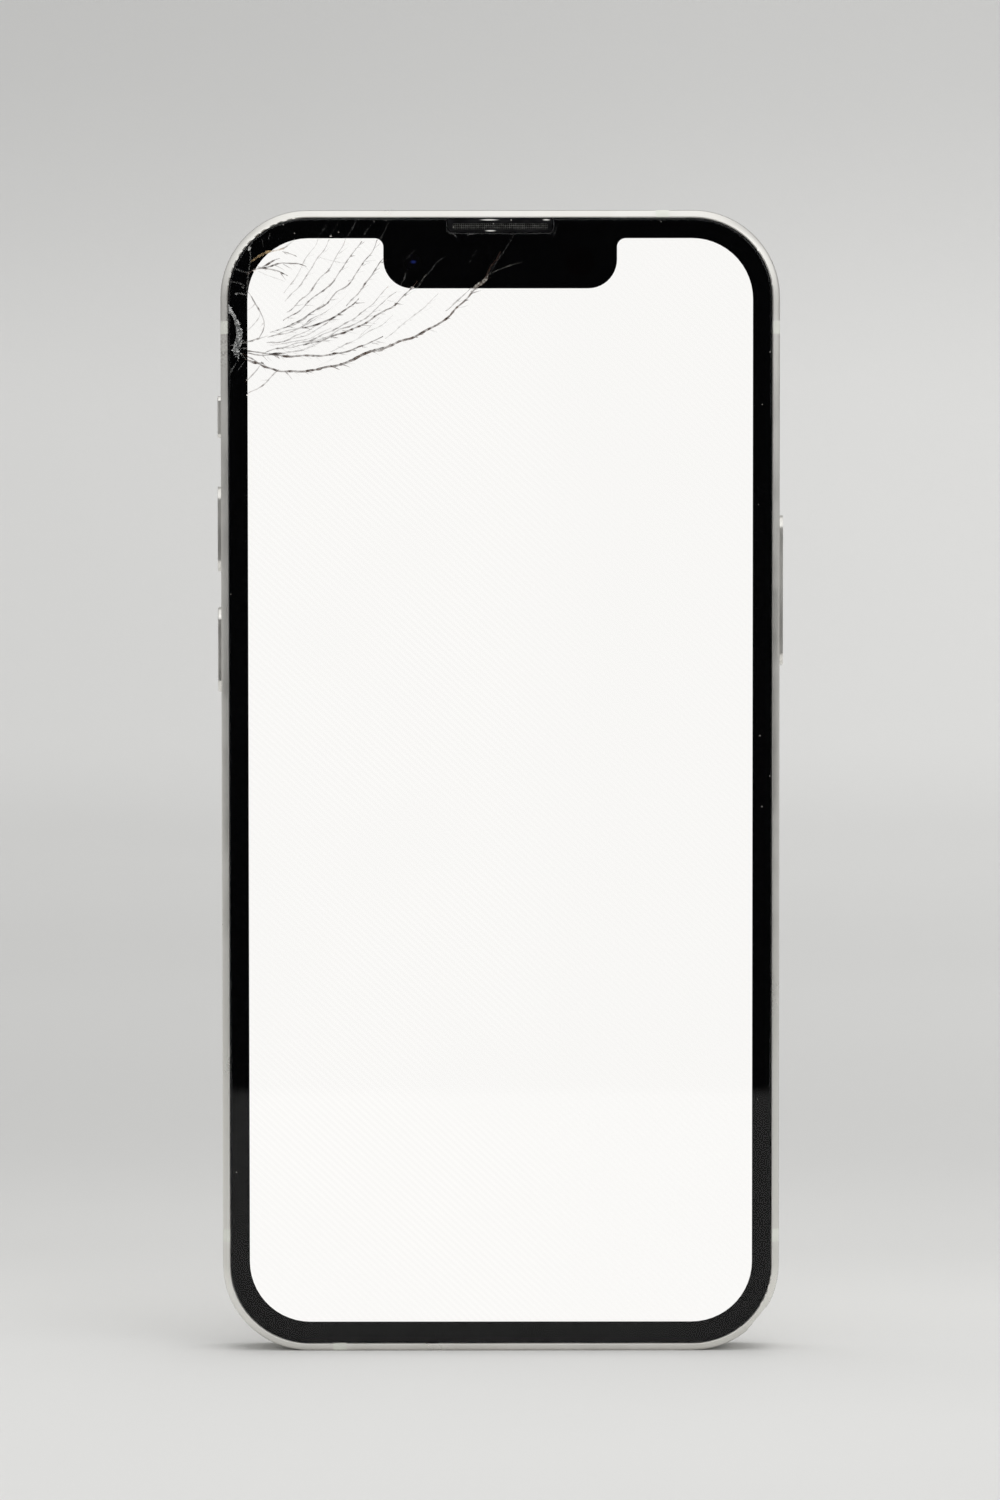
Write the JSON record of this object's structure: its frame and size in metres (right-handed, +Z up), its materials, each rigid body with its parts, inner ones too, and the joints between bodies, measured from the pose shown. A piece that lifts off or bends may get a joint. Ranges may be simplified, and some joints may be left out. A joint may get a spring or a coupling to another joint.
{
  "type": "smartphone with a shattered screen",
  "caption": "Slim flat-sided phone standing on its bottom edge, lit white screen with a notch, its front glass shattered at one upper corner.",
  "frame": {"origin": "middle of the metal band's flat bottom face, in the middle of the phone's width and of the band's depth", "axes": "+X to the right seen from the screen side, +Y from the screen to the back, +Z up the phone's height"},
  "size_m": [0.0652, 0.0092, 0.1315],
  "materials": {
    "front_glass": "clear, cracked",
    "black_ink": "gloss",
    "screen": "lit white",
    "dark_metal": "satin",
    "black_plastic": "matt",
    "rubber_seal": "matt",
    "flex": "satin",
    "mesh_metal": "woven",
    "lens_glass": "polished",
    "silver_band": "satin",
    "band_plastic": "satin",
    "back": "gloss",
    "flash": "ribbed",
    "battery_skin": "satin",
    "adhesive": "stretch",
    "board": "solder mask",
    "shield": "pressed",
    "screw_steel": "turned",
    "card": "matt",
    "copper": "wound",
    "tungsten": "ground"
  },
  "bodies": {
    "phone": {"cover_glass": "front_glass", "black_border": "black_ink", "display_panel": "screen", "display_back_plate": "dark_metal", "display_frame": "black_plastic", "display_seal": "rubber_seal", "display_flex": "flex", "earpiece_bezel": "black_plastic", "earpiece_mesh": "mesh_metal", "earpiece_speaker": "black_plastic", "front_camera": "lens_glass", "infrared_camera": "lens_glass", "dot_projector": "lens_glass", "front_sensor_bracket": "dark_metal", "frame": "silver_band", "antenna_bands": "band_plastic", "back_glass": "back", "camera_ring_upper": "silver_band", "camera_ring_lower": "silver_band", "lens_cover_upper": "lens_glass", "lens_cover_lower": "lens_glass", "camera_module_upper": "black_plastic", "camera_module_lower": "black_plastic", "camera_bracket": "dark_metal", "flash_lens": "flash", "flash_led": "flash", "battery": "battery_skin", "battery_tab": "flex", "battery_adhesive": "adhesive", "main_board": "board", "processor_shield": "shield", "radio_shield": "shield", "rear_shield": "shield", "board_screws": "screw_steel", "sim_reader": "shield", "power_switch": "shield", "power_bracket": "dark_metal", "volume_switches": "shield", "volume_bracket": "dark_metal", "ring_switch_base": "black_plastic", "haptic_case": "shield", "loudspeaker": "black_plastic", "bottom_microphone": "shield", "port_shell": "shield", "port_tongue": "black_plastic", "port_body": "black_plastic", "dock_flex": "flex", "charging_coil": "copper", "bottom_screws": "screw_steel"},
    "power_key": {"power_button": "silver_band"},
    "volume_up_key": {"volume_up_button": "silver_band"},
    "volume_down_key": {"volume_down_button": "silver_band"},
    "ring_lever": {"ring_switch_lever": "silver_band"},
    "card_tray": {"sim_tray": "silver_band", "sim_card": "card"},
    "vibrator": {"haptic_mass": "tungsten"},
    "upper_lens": {"lens_barrel_upper": "lens_glass"},
    "lower_lens": {"lens_barrel_lower": "lens_glass"}
  },
  "joints": [
    {"name": "power_press", "type": "slide", "parent": "phone", "child": "power_key", "axis": [-1, 0, 0], "range_m": [0, 0.00025], "stiffness_N_per_m": 900, "springref_m": -0.0006},
    {"name": "volume_up_press", "type": "slide", "parent": "phone", "child": "volume_up_key", "axis": [1, 0, 0], "range_m": [0, 0.00025], "stiffness_N_per_m": 900, "springref_m": -0.0006},
    {"name": "volume_down_press", "type": "slide", "parent": "phone", "child": "volume_down_key", "axis": [1, 0, 0], "range_m": [0, 0.00025], "stiffness_N_per_m": 900, "springref_m": -0.0006},
    {"name": "ring_switch_slide", "type": "slide", "parent": "phone", "child": "ring_lever", "axis": [0, 1, 0], "range_m": [0, 0.0007]},
    {"name": "card_tray_slide", "type": "slide", "parent": "phone", "child": "card_tray", "axis": [-1, 0, 0], "range_m": [0, 0.014]},
    {"name": "vibrator_slide", "type": "slide", "parent": "phone", "child": "vibrator", "axis": [1, 0, 0], "range_m": [-0.0006, 0.0006], "stiffness_N_per_m": 4000},
    {"name": "upper_lens_focus", "type": "slide", "parent": "phone", "child": "upper_lens", "axis": [0, 1, 0], "range_m": [-0.00015, 0.00015], "stiffness_N_per_m": 100},
    {"name": "lower_lens_focus", "type": "slide", "parent": "phone", "child": "lower_lens", "axis": [0, 1, 0], "range_m": [-0.00015, 0.00015], "stiffness_N_per_m": 100}
  ]
}
